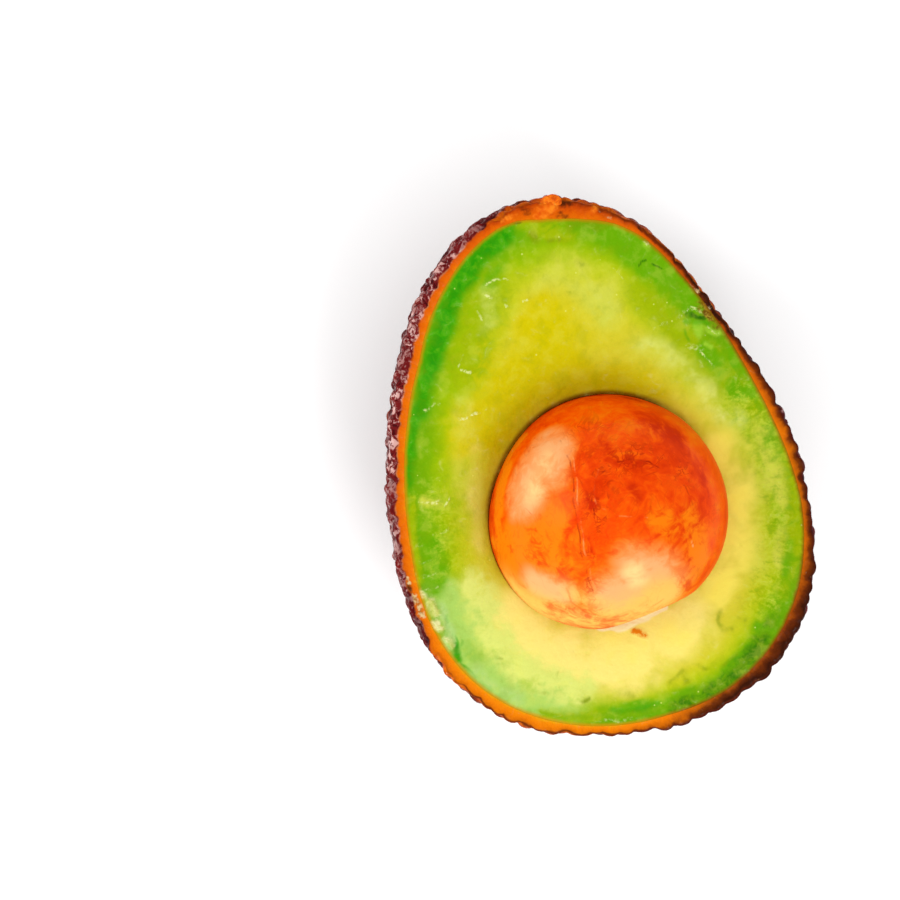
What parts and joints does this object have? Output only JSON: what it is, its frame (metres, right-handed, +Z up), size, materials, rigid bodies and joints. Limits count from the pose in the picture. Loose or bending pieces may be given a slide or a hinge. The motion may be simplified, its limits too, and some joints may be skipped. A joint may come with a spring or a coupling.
{
  "type": "avocado half",
  "caption": "Halved avocado with its seed, lying on its pebbled skin with the cut face up; a fresh fruit for kitchen scenes, still lifes and handling tests.",
  "frame": {"origin": "bottom centre of the half's bounding box, on the surface that it lies on", "axes": "+Z up out of the cut face, +Y towards the stem end along the fruit's length, X across its breadth"},
  "size_m": [0.071, 0.0934, 0.0532],
  "materials": {
    "skin": "pebbled dark maroon peel with a waxy gloss",
    "flesh": "moist cut flesh, green at the peel and yellow towards the seed",
    "seed": "smooth orange-brown seed coat, glossy",
    "stem": "rough woody stem remnant"
  },
  "bodies": {
    "root": {"skin": "skin", "flesh": "flesh", "seed": "seed", "stem_button": "stem"}
  },
  "joints": []
}
